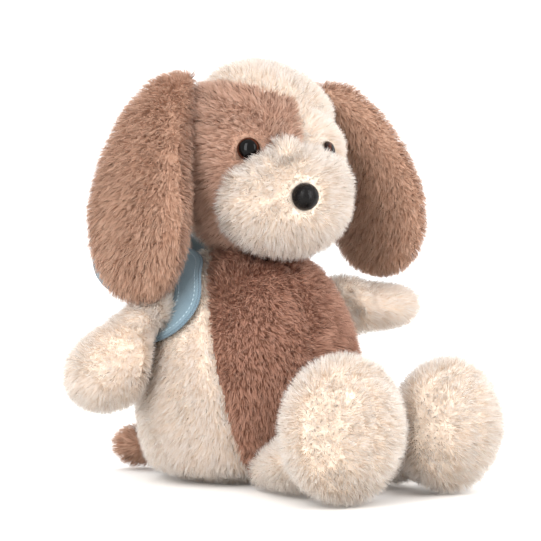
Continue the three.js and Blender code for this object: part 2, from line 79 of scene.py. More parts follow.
# How the pile stands on it.
PILE_LENGTH = 7.0 * MM
LENGTH_SPREAD = (0.75, 1.15)
PILE_DENSITY = 2.6 / MM**2
STRAND_WIDTH = 0.38 * MM
WIDTH_SPREAD = (0.8, 1.2)
STRAND_TAPER = 0.8  # a strand's width at its middle, as a share of that at its root
COVER_FADE = (1 * MM, 3 * MM)  # how deep in another form the pile stops growing
SEAM_SHORTENING = 0.3
SWIRLS = ((30 * MM, 0.5), (9 * MM, 0.35))  # the reach and the strength of the flow's swirls
ROOT_LEAN = 0.45  # how far the root half of a strand leans with the flow
ROOT_TANGLE = 0.18  # how far it strays at random
TIP_LEAN = 0.4
TIP_TANGLE = 0.15
TIP_DROOP = 0.1
STRAND_TWIST = 2 * MM
CLUMP_SHARE = 0.12  # the share of strands that lead a tuft
MIDDLE_CLUMPING = 0.35  # how far a strand's middle follows its tuft, as a share of its tip
TUFT_SHADES = 0.28
STRAND_SHADES = 0.12
STRAND_FACING = 0.1  # how far a strand is shaded by its own side, and not by the skin's


# ---------------------------------------------------------------- meshes


def arrays_of(mesh):
    """The points of a mesh and its triangles."""
    mesh.calc_loop_triangles()
    points = np.empty(len(mesh.vertices) * 3, np.float32)
    corners = np.empty(len(mesh.loop_triangles) * 3, np.int32)
    mesh.vertices.foreach_get("co", points)
    mesh.loop_triangles.foreach_get("vertices", corners)
    return points.reshape(-1, 3).astype(float), corners.reshape(-1, 3)


def cad(*nodes):
    """The points and triangles of some CAD nodes taken together."""
    points, triangles, count = [], [], 0
    for node in nodes:
        some_points, some_triangles = arrays_of(frame["nodes"][node].data)
        points.append(some_points)
        triangles.append(some_triangles + count)
        count += len(some_points)
    return np.concatenate(points), np.concatenate(triangles)


def tree_of(points, triangles):
    return BVHTree.FromPolygons(points.tolist(), triangles.tolist())


def added(name, mesh):
    piece = bpy.data.objects.new(name, mesh)
    bpy.context.scene.collection.objects.link(piece)
    return piece


def built(name, points, faces, smooth=True):
    """A new piece from points and faces."""
    mesh = bpy.data.meshes.new(name)
    mesh.from_pydata(np.asarray(points).tolist(), [], [list(map(int, face)) for face in faces])
    mesh.validate()
    piece = added(name, mesh)
    if smooth:
        mesh.shade_smooth()
    return piece


def settle(piece):
    """Applies every modifier that the piece holds."""
    graph = bpy.context.evaluated_depsgraph_get()
    shown = bpy.data.meshes.new_from_object(piece.evaluated_get(graph), depsgraph=graph)
    piece.modifiers.clear()
    piece.data = shown
    shown.shade_smooth()


def modified(piece, kind, **settings):
    """Applies one modifier with these settings."""
    modifier = piece.modifiers.new(kind.lower(), kind)
    for name, value in settings.items():
        setattr(modifier, name, value)
    settle(piece)


def points_of(piece):
    return arrays_of(piece.data)[0]


def place_points(piece, points):
    piece.data.vertices.foreach_set("co", points.astype(np.float32).ravel())
    piece.data.update()


def normals_of(points, triangles):
    """The unit normal of each point, weighted by the area around it."""
    a, b, c = (points[triangles[:, k]] for k in range(3))
    across = np.cross(b - a, c - a)
    normals = np.zeros_like(points)
    for k in range(3):
        np.add.at(normals, triangles[:, k], across)
    return unit(normals)


def unit(vectors):
    return vectors / np.maximum(np.linalg.norm(vectors, axis=-1, keepdims=True), 1e-12)


def smoothstep(values, low, high):
    t = np.clip((values - low) / (high - low), 0, 1)
    return t * t * (3 - 2 * t)


def inflated(piece, swell):
    """Lets stuffing press the skin outwards as cloth, by swell on average."""
    at_rest, triangles = arrays_of(piece.data)
    cloth = piece.modifiers.new("stuffing", "CLOTH")
    cloth.settings.quality = CLOTH_QUALITY
    cloth.settings.use_pressure = True
    cloth.settings.uniform_pressure_force = PRESSURE
    cloth.settings.effector_weights.gravity = 0
    scene = bpy.context.scene
    for step in range(1, STUFFING_FRAMES + 1):
        scene.frame_set(step)
    settle(piece)
    scene.frame_set(1)
    moved = points_of(piece) - at_rest
    far = np.linalg.norm(moved, axis=1, keepdims=True)
    moved *= np.minimum(1, swell / np.maximum(far, 1e-9))
    outwards = normals_of(at_rest, triangles)
    short = swell - np.mean(np.sum(moved * outwards, 1))
    place_points(piece, at_rest + moved + outwards * short)


def distances(points, tree):
    """How far each point is from the surface in tree."""
    return np.fromiter((tree.find_nearest(point)[3] for point in points.tolist()), float, len(points))


def solid_of(points, triangles):
    """A closed surface that depths() can measure from."""
    return {
        "tree": tree_of(points, triangles),
        "triangles": triangles,
        "normals": normals_of(points, triangles),
    }


def depths(points, solid):
    """How deep each point is inside a stuffed form, and below zero outside it."""
    found = [solid["tree"].find_nearest(point) for point in points.tolist()]
    nearest = np.array([place[:] for place, _, _, _ in found])
    triangle = solid["triangles"][[index for _, _, index, _ in found]]
    facing = unit(solid["normals"][triangle].sum(1))
    far = np.array([far for _, _, _, far in found])
    inside = (np.sum((nearest - points) * facing, 1) > 0.5 * far) & (far < DEEPEST)
    return np.where(inside, far, -far)


# ---------------------------------------------------------------- materials


def linear(colour):
    """A hex sRGB colour as linear red, green, blue and alpha."""
    parts = [int(colour[k : k + 2], 16) / 255 for k in (0, 2, 4)]
    return [x / 12.92 if x <= 0.04045 else ((x + 0.055) / 1.055) ** 2.4 for x in parts] + [1]


class Shader:
    """A material being wired up, with one Principled shader."""

    def __init__(self, name, **sockets):
        self.material = bpy.data.materials.new(name)
        self.material.use_nodes = True
        self.tree = self.material.node_tree
        self.surface = self.tree.nodes["Principled BSDF"]
        for socket, value in sockets.items():
            self.surface.inputs[socket.replace("_", " ")].default_value = value

    def node(self, kind, settings=None, **inputs):
        """A node with its settings, and with its inputs linked or set."""
        made = self.tree.nodes.new("ShaderNode" + kind)
        for name, value in (settings or {}).items():
            setattr(made, name, value)
        for name, value in inputs.items():
            self.feed(made.inputs[name.replace("_", " ")], value)
        return made

    def feed(self, socket, value):
        if isinstance(value, bpy.types.NodeSocket):
            self.tree.links.new(value, socket)
        else:
            socket.default_value = value

    def ramp(self, factor, *stops):
        """A colour for each position of factor, from (position, hex colour) stops."""
        made = self.node("ValToRGB", Fac=factor)
        row = made.color_ramp.elements
        while len(row) < len(stops):
            row.new(0.5)
        for element, (position, colour) in zip(row, stops, strict=True):
            element.position = position
            element.color = linear(colour)
        return made.outputs["Color"]

    def attribute(self, name):
        return self.node("Attribute", {"attribute_name": name}).outputs["Fac"]

    def maths(self, operation, first, second):
        made = self.node("Math", {"operation": operation})
        self.feed(made.inputs[0], first)
        self.feed(made.inputs[1], second)
        return made.outputs[0]

    def blended(self, factor, first, second, kind="MIX"):
        made = self.node("Mix", {"data_type": "RGBA", "blend_type": kind})
        self.feed(made.inputs[0], factor)
        self.feed(made.inputs[6], first)
        self.feed(made.inputs[7], second)
        return made.outputs[2]

    def noise(self, scale, detail=3.0, roughness=0.6):
        where = self.node("TexCoord").outputs["Object"]
        made = self.node("TexNoise", Vector=where, Scale=scale, Detail=detail, Roughness=roughness)
        return made.outputs["Fac"]

    def bump(self, height, strength, depth):
        made = self.node("Bump", Strength=strength, Distance=depth, Height=height)
        self.feed(self.surface.inputs["Normal"], made.outputs["Normal"])

    def finish(self, colour):
        self.feed(self.surface.inputs["Base Color"], colour)
        return self.material


def fur(name, pile, shades, translucency):
    """Pile strands: darker at the root as painted shade deep in the pile, lighter at the tip, each tuft
    a little different.
    """
    root, middle, tip = pile
    shader = Shader(name, Roughness=0.85, Specular_IOR_Level=0.12, Sheen_Weight=0.25)
    shader.surface.inputs["Sheen Roughness"].default_value = 0.5
    # painted shade: each strand's root is darker and its tip lighter
    along = shader.ramp(shader.attribute("along"), (0.0, root), (0.45, middle), (1.0, tip))
    shade = shader.ramp(shader.attribute("shade"), (0.0, shades[0]), (0.5, shades[1]), (1.0, "ffffff"))
    colour = shader.blended(1.0, along, shade, "MULTIPLY")
    through = shader.node("BsdfTranslucent", Color=colour)
    both = shader.node("MixShader", Fac=translucency)
    shader.feed(both.inputs[1], shader.surface.outputs["BSDF"])
    shader.feed(both.inputs[2], through.outputs["BSDF"])
    shader.feed(shader.tree.nodes["Material Output"].inputs["Surface"], both.outputs["Shader"])
    return shader.finish(colour)


def backing(name, dark, light):
    """The short underfur and backing between the strands, darker where its bump dips as painted shade
    between the tufts.
    """
    shader = Shader(name, Roughness=0.95, Specular_IOR_Level=0.05, Sheen_Weight=0.2)
    tufts = shader.noise(700.0)
    shader.bump(tufts, 0.6, 0.0015)
    # painted shade: the colour follows the bump's noise, darker in its dips
    return shader.finish(shader.ramp(tufts, (0.3, dark), (0.7, light)))


BROWN_SHADES = ("e2d8d1", "f6f1ee")
CREAM_SHADES = ("f5eee7", "fbf8f5")
# Each coat's slot, its pile from root to tip (the root darker as painted shade deep in the pile), its
# tufts' darkest and middle tints, how much light comes through a strand, how far a tuft's tips are
# drawn together, and its backing.
COATS = {
    "cream": {
        "slot": "cream_plush",
        "pile": ("f7e9da", "fcf5ee", "fffefd"),
        "shades": CREAM_SHADES,
        "translucency": 0.6,
        "clumping": 0.28,
        "backing": ("f4e3d1", "faefe3"),
    },
    "taupe": {
        "slot": "taupe_plush",
        "pile": ("b8937d", "d3ae97", "e9c9b3"),
        "shades": BROWN_SHADES,
        "translucency": 0.45,
        "clumping": 0.48,
        "backing": ("ae8973", "c4a08a"),
    },
    "patch": {
        "slot": "patch_plush",
        "pile": ("b4907c", "d3af9b", "ebccb9"),
        "shades": BROWN_SHADES,
        "translucency": 0.45,
        "clumping": 0.48,
        "backing": ("aa8672", "c29c88"),
    },
    "belly": {
        "slot": "belly_plush",
        "pile": ("966a57", "c49781", "e4baa5"),
        "shades": BROWN_SHADES,
        "translucency": 0.45,
        "clumping": 0.48,
        "backing": ("7e5747", "9c7563"),
    },
}
for coat, about in COATS.items():
    about["fur"] = fur(coat + "_fur", about["pile"], about["shades"], about["translucency"])
    about["skin"] = backing(coat + "_backing", *about["backing"])


# ---------------------------------------------------------------- stuffed forms


def form(body, coats, filling, flow, joins=None, **more):
    """What one stuffed form is made of.

    coats maps a coat to the panels cut from it, and flow gives the way its pile lies. joins is the
    body it is sewn to, its hinge, and a way for its fabric to bend from there; only the hinge is
    used, and nothing bends the fabric. depth is how far its backing lies under its CAD surface, laid
    how flat its pile lies, and short_near the nodes near which the pile is short: (least length,
    from, up to). The others bend its shape.
    """
    return {"body": body, "coats": coats, "filling": filling, "flow": flow, "joins": joins, **more}


def joint_place(name):
    joint = next(j for j in frame["joints"] if j["name"] == name)
    return np.array(joint["pos_m"], float)


def box_centre(node):
    low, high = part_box(node)
    return np.array((low + high) / 2)


DOWN = np.array([0.0, 0.0, -1.0])
FORWARD = np.array([0.0, -1.0, 0.0])


def downwards(points):
    return np.broadcast_to(DOWN, points.shape)


def away_from(centre, lean=DOWN, share=0.4):
    """A flow that runs outwards from a place, and leans one way by a share."""

    def flow(points):
        return unit(points - centre) + share * np.asarray(lean)

    return flow


# The soft crease down each sole.
CREASE_SHIFT = -3 * MM  # from the middle of the sole
CREASE_FACING = (0.4, 0.8)  # it fades out where the sole turns away from the front
CREASE_DEPTH = 0.6  # as a share of a seam's

# Where the muzzle is fuller, by share of its height from its top, and where the arms' roots are.
BROW_FADE = (0.1, 0.5)
SHOULDER_FADE = (14 * MM, 36 * MM)

# How the two ears differ from their CAD shapes: the right one is the fuller.
EAR_SAG = {"right": 6 * MM, "left": 3.5 * MM}
EAR_LIFT = {"right": 4 * MM, "left": 1 * MM}
EAR_SPREAD = {"right": 1.06, "left": 1.02}
EAR_LEAN = {"right": 5 * MM, "left": 1 * MM}

SIDES = ("right", "left")
OUTWARDS = {"right": -1, "left": 1}

nose_at = box_centre("nose")
forms = {
    "torso": form(
        "torso",
        {
            "belly": ["belly_panel_right", "belly_panel_left"],
            "cream": ["side_panel_right", "side_panel_left", "base_panel"],
        },
        ["torso_stuffing", "pellet_bag"],
        downwards,
        short_near={
            "strap_right": (0.4, 5 * MM, 8.5 * MM),
            "strap_left": (0.4, 5 * MM, 8.5 * MM),
            "bag_back_panel": (0.25, 3 * MM, 9 * MM),
        },
    ),
    "head": form(
        "head",
        {
            "patch": ["face_panel_right"],
            "cream": ["face_panel_left", "crown_panel", "head_back_panel"],
        },
        ["head_stuffing"],
        away_from(nose_at, DOWN, 0.5),
        short_near={
            "eye_right": (0.15, 1.5 * MM, 6 * MM),
            "eye_left": (0.15, 1.5 * MM, 6 * MM),
        },
        sag=9 * MM,
    ),
    "muzzle": form(
        "head",
        {"cream": ["muzzle_panel"]},
        ["muzzle_stuffing"],
        away_from(nose_at, DOWN, 0.25),
        short_near={"nose": (0.15, 1.5 * MM, 6 * MM)},
        laid=0.7,
        brow=5 * MM,
        brow_width=0.22,
    ),
    "tail": form(
        "tail",
        {"taupe": ["tail_panel"]},
        ["tail_stuffing"],
        away_from(joint_place("tail_wag"), DOWN, 0.3),
        joins=("torso", joint_place("tail_wag"), (0, 12 * MM, 0)),
    ),
}
for side in SIDES:
    out = OUTWARDS[side]
    ear_hinge = joint_place(f"ear_swing_{side}")
    arm_hinge = joint_place(f"arm_swing_{side}")
    leg_hinge = joint_place(f"leg_lift_{side}")
    sole_at = box_centre(f"sole_panel_{side}")
    forms[f"ear_{side}"] = form(
        f"ear_{side}",
        {"taupe": [f"ear_outer_panel_{side}", f"ear_inner_panel_{side}"]},
        [f"ear_stuffing_{side}"],
        away_from(ear_hinge, DOWN, 0.8),
        joins=("head", ear_hinge, (out * 12 * MM, 0, -8 * MM)),
        depth=2.4 * MM,
        sag=EAR_SAG[side],
        lift=EAR_LIFT[side],
        spread=EAR_SPREAD[side],
        lean=out * EAR_LEAN[side],
    )
    forms[f"arm_{side}"] = form(
        f"arm_{side}",
        {"cream": [f"arm_panel_{side}"]},
        [f"arm_stuffing_{side}"],
        away_from(arm_hinge, DOWN, 0.2),
        joins=("torso", arm_hinge, (out * 14 * MM, 0, 0)),
        shoulder=6 * MM,
    )
    forms[f"leg_{side}"] = form(
        f"leg_{side}",
        {"cream": [f"leg_panel_{side}", f"sole_panel_{side}"]},
        [f"leg_stuffing_{side}"],
        away_from(leg_hinge, DOWN, 0.2),
        joins=("torso", leg_hinge, (0, -16 * MM, 0)),
        laid=0.55,
        crease=sole_at[0] + CREASE_SHIFT,
    )


def panels_of(about):
    return [panel for panels in about["coats"].values() for panel in panels]


def skin(name, about):
    """The closed cloth skin of a form, pressed outwards by its stuffing."""
    piece = built(f"{name}_skin", *cad(*panels_of(about), *about["filling"]))
    modified(piece, "REMESH", mode="VOXEL", voxel_size=SKIN_VOXEL, adaptivity=0)
    modified(piece, "SMOOTH", factor=0.5, iterations=5)
    about["envelope"] = solid_of(*arrays_of(piece.data))
    modified(piece, "DISPLACE", strength=-(about.get("depth", SKIN_DEPTH) + SWELL), mid_level=0)
    modified(piece, "SMOOTH", factor=0.5, iterations=2)
    inflated(piece, SWELL)
    modified(piece, "SUBSURF", levels=1, render_levels=1)
    return piece


def seam_nearness(to_panels):
    """1 on a seam and 0 away from it, from the distances of the points to each panel."""
    if to_panels.shape[1] < 2:
        return np.zeros(len(to_panels))
    nearest = np.sort(to_panels, axis=1)
    return 1 - smoothstep(nearest[:, 1] - nearest[:, 0], 0, SEAM_REACH)


def creased(points, normals, x):
    """Nearness to the soft crease down a sole at x, on the scale of seam_nearness()."""
    ahead = smoothstep(normals @ FORWARD, *CREASE_FACING)
    near = 1 - smoothstep(np.abs(points[:, 0] - x), 0, SEAM_REACH)
    return CREASE_DEPTH * ahead * near


def hang(points, about, drop):
    """Lifts, sags, spreads and leans a form by how far down its height each point is."""
    points[:, 2] += about.get("lift", 0) * (1 - drop) ** 2 - about.get("sag", 0) * drop**2
    inner_edge = points[np.argmin(np.abs(points[:, 0])), 0]
    points[:, 0] = inner_edge + (points[:, 0] - inner_edge) * about.get("spread", 1)
    points[:, 0] -= about.get("lean", 0) * (1 - drop) ** 2


def fill_out(points, normals, about, drop):
    """Makes the top of the muzzle and the roots of the arms fuller."""
    if "brow" in about:
        high = (1 - smoothstep(drop, *BROW_FADE))[:, None]
        sideways = unit(np.cross(DOWN, nose_at - box_centre("head_stuffing")))
        aside = ((points - points.mean(0)) @ sideways)[:, None] * sideways
        points += normals * about["brow"] * high + aside * about["brow_width"] * high
    if "shoulder" in about:
        from_hinge = np.linalg.norm(points - about["joins"][1], axis=1)
        near = 1 - smoothstep(from_hinge, *SHOULDER_FADE)
        points += (normals + FORWARD) * about["shoulder"] * near[:, None]


def sew(name, about):
    """Builds the skin of one form, pulls it in at its seams and lets it hang."""
    piece = skin(name, about)
    points, triangles = arrays_of(piece.data)
    trees = [tree_of(*cad(panel)) for panel in panels_of(about)]
    to_panels = np.stack([distances(points, tree) for tree in trees], 1)
    normals = normals_of(points, triangles)
    seams = seam_nearness(to_panels)
    if "crease" in about:
        seams = np.maximum(seams, creased(points, normals, about["crease"]))
    points -= normals * (SEAM_PULL * seams)[:, None]
    drop = (points[:, 2].max() - points[:, 2]) / np.ptp(points[:, 2])
    hang(points, about, drop)
    fill_out(points, normals, about, drop)
    points[:, 2] = np.maximum(points[:, 2], FLOOR_CLEARANCE)
    place_points(piece, points)
    about.update(
        skin=piece,
        points=points,
        triangles=triangles,
        normals=normals_of(points, triangles),
        to_panels=to_panels,
        seams=seams,
    )


for name, about in forms.items():
    sew(name, about)


# ---------------------------------------------------------------- pile


def swirls(points, reach, rng):
    """A smooth random vector at each point, that changes over about reach."""
    found = np.zeros_like(points)
    for _ in range(6):
        wave = unit(rng.normal(size=3)) * 2 * math.pi / (reach * rng.uniform(0.7, 1.6))
        found += np.sin(points @ wave + rng.uniform(0, 2 * math.pi))[:, None] * unit(rng.normal(size=3))
    return found / 2


def clump_of(roots, rng):
    """For each root, the root that leads its tuft."""
    leaders = np.flatnonzero(rng.random(len(roots)) < CLUMP_SHARE)
    tree = KDTree(len(leaders))
    for i in leaders.tolist():
        tree.insert(roots[i], i)
    tree.balance()
    return np.fromiter((tree.find(root)[1] for root in roots.tolist()), int, len(roots))


def strand_mesh(name, base, middle, tip, width, across, normals, shade):
    """One mesh of flat tapered strands, each a four-sided root half and a pointed tip half."""
    half = across * width[:, None] / 2
    thinner = half * STRAND_TAPER
    rows = [base - half, base + half, middle - thinner, middle + thinner, tip]
    count = len(base)
    points = np.stack(rows, 1).reshape(-1, 3)
    points[:, 2] = np.maximum(points[:, 2], FLOOR_CLEARANCE)
    root_half, tip_half = [0, 1, 3, 2], [2, 3, 4]
    strands = np.arange(count)[:, None]
    corners = (strands * len(rows) + [root_half + tip_half]).ravel()
    starts = (strands * len(root_half + tip_half) + [0, len(root_half)]).ravel()
    mesh = bpy.data.meshes.new(name)
    mesh.vertices.add(len(points))
    mesh.vertices.foreach_set("co", points.astype(np.float32).ravel())
    mesh.loops.add(len(corners))
    mesh.loops.foreach_set("vertex_index", corners.astype(np.int32))
    mesh.polygons.add(len(starts))
    mesh.polygons.foreach_set("loop_start", starts.astype(np.int32))
    mesh.update(calc_edges=True)
    for label, values in {
        "along": np.tile([0, 0, 0.5, 0.5, 1.0], count),
        "shade": np.repeat(shade, len(rows)),
    }.items():
        mesh.attributes.new(label, "FLOAT", "POINT").data.foreach_set(
            "value", values.astype(np.float32)
        )
    mesh.shade_smooth()
    mesh.normals_split_custom_set_from_vertices(np.repeat(normals, len(rows), 0).astype(np.float32))
    return mesh


def fields(name, about):
    """What the pile does at each point of a form's skin: how long it is and where it grows."""
    points = about["points"]
    grows = np.ones(len(points))
    for other, others in forms.items():
        if other == name:
            continue
        covered = depths(points, others["envelope"]) - others.get("depth", SKIN_DEPTH)
        grows = np.minimum(grows, 1 - smoothstep(covered, *COVER_FADE))
    length = 1 - SEAM_SHORTENING * about["seams"]
    for node, (least, near, far) in about.get("short_near", {}).items():
        away = distances(points, tree_of(*cad(node)))
        length *= least + (1 - least) * smoothstep(away, near, far)
    return grows, length


def scattered(points, triangles, rng):
    """Random places on a skin: the corners of each one's triangle, and their weights in it."""
    a, b, c = (points[triangles[:, k]] for k in range(3))
    areas = np.linalg.norm(np.cross(b - a, c - a), axis=1) / 2
    count = int(areas.sum() * PILE_DENSITY)
    face = np.searchsorted(np.cumsum(areas) / areas.sum(), rng.random(count))
    face = np.minimum(face, len(areas) - 1)
    u, v = rng.random(count), rng.random(count)
    folded = u + v > 1
    u[folded], v[folded] = 1 - u[folded], 1 - v[folded]
    return triangles[face], np.stack([1 - u - v, u, v], 1)


def combed(about, roots, normals, rng):
    """The way the pile flows along the skin at each root."""
    flow = about["flow"](roots)
    for reach, strength in SWIRLS:
        flow = flow + strength * swirls(roots, reach, rng)
    flow = flow - normals * np.sum(flow * normals, 1, keepdims=True)
    return about.get("laid", 1) * flow / np.maximum(1, np.linalg.norm(flow, axis=1, keepdims=True))


def clumping_of(about):
    """How far the tips of each panel's tufts are drawn together."""
    return np.array([COATS[coat]["clumping"] for coat, cut in about["coats"].items() for _ in cut])


def pile(name, about):
    """Grows the pile of one form: a piece for each panel that it is cut from."""
    rng = np.random.default_rng(SEED + sorted(forms).index(name))
    corners, weights = scattered(about["points"], about["triangles"], rng)
    count = len(corners)

    def at_roots(values):
        return np.einsum("nk,nk...->n...", weights, values[corners])

    grows, length = fields(name, about)
    owner = np.argmin(at_roots(about["to_panels"]), axis=1)
    roots = at_roots(about["points"])
    normals = unit(at_roots(about["normals"]))
    flow = combed(about, roots, normals, rng)
    keep = at_roots(grows) > rng.random(count)
    reach = (PILE_LENGTH * at_roots(length) * rng.uniform(*LENGTH_SPREAD, count))[:, None]
    up = unit(normals + flow * ROOT_LEAN + rng.normal(size=(count, 3)) * ROOT_TANGLE)
    over = unit(up + flow * TIP_LEAN + DOWN * TIP_DROOP + rng.normal(size=(count, 3)) * TIP_TANGLE)
    middle = roots + up * reach * 0.5
    tip = middle + over * reach * 0.5
    leader = clump_of(roots, rng)
    pull = clumping_of(about)[owner][:, None]
    middle += (middle[leader] - middle) * pull * MIDDLE_CLUMPING
    tip += (tip[leader] - tip) * pull
    twist = rng.normal(size=(count, 3)) * STRAND_TWIST
    across = unit(np.cross(tip - roots, normals) + twist)
    facing = unit(np.cross(across, tip - roots))
    facing *= np.sign(np.sum(facing * normals, 1, keepdims=True))
    shown = unit(normals + facing * STRAND_FACING)
    width = STRAND_WIDTH * rng.uniform(*WIDTH_SPREAD, count)
    of_tuft = rng.normal(size=count)[leader] * TUFT_SHADES
    shade = np.clip(0.5 + of_tuft + rng.normal(size=count) * STRAND_SHADES, 0, 1)

    made = []
    panels = panels_of(about)
    for coat, cut in about["coats"].items():
        for panel in cut:
            mine = keep & (owner == panels.index(panel))
            rows = (values[mine] for values in (roots, middle, tip, width, across, shown, shade))
            mesh = strand_mesh(f"{panel}_pile", *rows)
            mesh.materials.append(COATS[coat]["fur"])
            piece = added(mesh.name, mesh)
            made.append(piece)
    return made


def attach(piece, about):
    """Lets a piece ride on its body. A piece of a form sewn to another across a joint only has its
    place baked into its mesh, and rides on no body.
    """
    if about["joins"] is None:
        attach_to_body(piece, about["body"])
        return
    sewn_to, hinge, way = about["joins"]
    way = np.asarray(way)
    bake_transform(piece)


def dress(name, about):
    """Gives a skin its backing material panel by panel, and grows its pile."""
    piece = about["skin"]
    panels = panels_of(about)
    coats = list(about["coats"])
    coat_of = [coats.index(coat) for panel in panels for coat in coats if panel in about["coats"][coat]]
    nearest = np.argmin(about["to_panels"], axis=1)
    piece.data.materials.clear()
    for coat in coats:
        piece.data.materials.append(COATS[coat]["skin"])
    first_corner = [polygon.vertices[0] for polygon in piece.data.polygons]
    piece.data.polygons.foreach_set("material_index", np.array(coat_of)[nearest[first_corner]])
    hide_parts(*panels, *about["filling"])
    for each in [piece, *pile(name, about)]:
        attach(each, about)


for name, about in forms.items():
    dress(name, about)


# ---------------------------------------------------------------- eyes and nose


TURNED_SIDES = 48
EYE_DOME = 5 * MM
NOSE_DOME = 8 * MM
DOME_STEPS = 14
DOME_FULLNESS = 0.8  # below 1 the dome is fuller than an ellipse
DOME_TIP = 0.2 * MM
LIP_DEPTH = 0.8 * MM
LIP_SHARE = 0.9
SHANK_RADIUS = 2 * MM


def turned(name, profile, place, axis):
    """A piece turned from (radius, height) points, with its heights along axis from place."""
    axis = Vector(axis).normalized()
    turn = axis.to_track_quat("Z", "Y").to_matrix()
    points, faces = [], []
    for radius, height in profile:
        for k in range(TURNED_SIDES):
            angle = 2 * math.pi * k / TURNED_SIDES
            flat = Vector((radius * math.cos(angle), radius * math.sin(angle), height))
            points.append(Vector(place) + turn @ flat)
    for ring in range(len(profile) - 1):
        low, high = ring * TURNED_SIDES, (ring + 1) * TURNED_SIDES
        for k in range(TURNED_SIDES):
            after = (k + 1) % TURNED_SIDES
            faces.append((low + k, low + after, high + after, high + k))
    faces.append(tuple(reversed(range(TURNED_SIDES))))
    faces.append(tuple(range(len(points) - TURNED_SIDES, len(points))))
    return built(name, points, faces)


def button(name, node, washer, dome, material):
    """A moulded button on its shank, in the place of its CAD node, with a dome this high."""
    axis = unit(box_centre(node) - box_centre(washer))
    points = cad(node)[0] - box_centre(washer)
    along = points @ axis
    radius = np.linalg.norm(points - np.outer(along, axis), axis=1).max()
    top, bottom = along.max(), along.min()
    lip_height = top - dome - LIP_DEPTH
    profile = [(SHANK_RADIUS, bottom), (SHANK_RADIUS, lip_height), (radius * LIP_SHARE, lip_height)]
    for k in range(DOME_STEPS):
        angle = math.radians(90 * k / DOME_STEPS)
        profile.append((radius * math.cos(angle) ** DOME_FULLNESS, top - dome + dome * math.sin(angle)))
    piece = turned(name, [*profile, (DOME_TIP, top)], box_centre(washer), axis)
    from_axis = np.array([out for out, _ in profile] + [0]) / radius
    outs = piece.data.attributes.new("out", "FLOAT", "POINT")
    outs.data.foreach_set("value", np.repeat(from_axis, TURNED_SIDES).astype(np.float32))
    piece.data.materials.append(material)
    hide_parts(node)
    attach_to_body(piece, "head")
    return piece


def eye_resin():
    """Black glossy resin with a dark brown iris ring near its rim."""
    shader = Shader("eye_resin", Roughness=0.06, Specular_IOR_Level=0.12)
    cloudy = shader.maths("MULTIPLY", shader.noise(900.0), 0.12)
    out = shader.maths("ADD", shader.attribute("out"), shader.maths("SUBTRACT", cloudy, 0.06))
    pupil = ((0.0, "050404"), (0.76, "060404"))
    rim = ((0.87, "4a2416"), (0.95, "2a140c"), (1.0, "0a0606"))
    return shader.finish(shader.ramp(out, *pupil, *rim))


def nose_resin():
    """Black moulded plastic with a fine leather grain."""
    shader = Shader("nose_resin", Roughness=0.22, Specular_IOR_Level=0.12)
    where = shader.node("TexCoord").outputs["Object"]
    grain = shader.node("TexVoronoi", {"feature": "SMOOTH_F1"}, Vector=where, Scale=1400.0)
    shader.bump(grain.outputs["Distance"], 0.35, 0.0004)
    return shader.finish(shader.ramp(shader.noise(500.0), (0.3, "080707"), (0.8, "171413")))


eye_material = eye_resin()
for side in SIDES:
    button(f"eye_dome_{side}", f"eye_{side}", f"eye_washer_{side}", EYE_DOME, eye_material)
button("nose_dome", "nose", "nose_washer", NOSE_DOME, nose_resin())

def speckled(name, dark, light, scale=900.0, **sockets):
    """A plain material that is a little uneven."""
    shader = Shader(name, **sockets)
    return shader.finish(shader.ramp(shader.noise(scale), (0.3, dark), (0.7, light)))


washer_plastic = speckled("washer_plastic", "cfcfca", "dededa", 400.0, Roughness=0.4)
for node in ("eye_washer_right", "eye_washer_left", "nose_washer"):
    washer = frame["nodes"][node]
    washer.material_slots[0].link = "OBJECT"
    washer.material_slots[0].material = washer_plastic


# ---------------------------------------------------------------- backpack


THREAD = 0.9 * MM
FAR = 0.3  # how far out a ray starts, clear of the dog

STRAP_WIDTH = 17 * MM
STRAP_THICKNESS = 2.2 * MM
STRAP_LIFT = -1.5 * MM  # below the CAD torso, which is the fur's own surface
STRAP_STEPS = 120
# The strap's places round the torso as (heading in degrees from the front, height in mm).
STRAP_ROUTE = (
    (98, 118), (86, 112), (79, 105), (76, 97), (79, 90),
    (88, 85), (102, 82), (120, 84), (139, 94),
)
STRAP_TOP = (28 * MM, 131 * MM)  # across and up, where it leaves the top of the bag
STRAP_SHOULDER = (33 * MM, 29 * MM, 127 * MM)  # across, back and up
STRAP_END = (24 * MM, 108 * MM)  # across and up, where it comes back to the bag
STITCH_INSET = 3.2 * MM
STITCH = (1.7 * MM, 0.85 * MM, 0.32 * MM)  # length, gap and half thickness

PIPING = 1.0 * MM
CORD_SIDES = 8
BAG_VOXEL = 3.2 * MM
BAG_INSET = 2.5 * MM  # how far its skin starts inside the CAD bag
BAG_SWELL = 3 * MM
BAG_CORNER = 22 * MM
CORNER_STEPS = 12
OUTLINE_STEPS = 120

ZIP_WIDTH = 9 * MM
ZIP_THICKNESS = 1.2 * MM
ZIP_STEPS = 80
ZIP_TOOTH = (1.1 * MM, 0.5 * MM, 0.4 * MM, 1.5 * MM)  # length, gap, half thickness, half width
TOOTH_LIFT = 0.7 * MM
SLIDER = (5 * MM, 2 * MM)  # width and thickness
SLIDER_STEPS = 5
SLIDER_LIFT = 1.5 * MM
PULL = (3.4 * MM, 1 * MM)
PULL_LENGTH = 9 * MM
PULL_LIFT = 2.4 * MM
PULL_DROP = 0.8 * MM

POCKET_SIDE = 16 * MM  # from the side of the bag
POCKET_HEIGHTS = (5 * MM, 31 * MM)  # its foot and its top, above the foot of the bag
POCKET_CORNER = 10 * MM
POCKET_CORD = 0.9 * MM
HEM_INSET = 3 * MM
HEM_CORD = 0.35 * MM


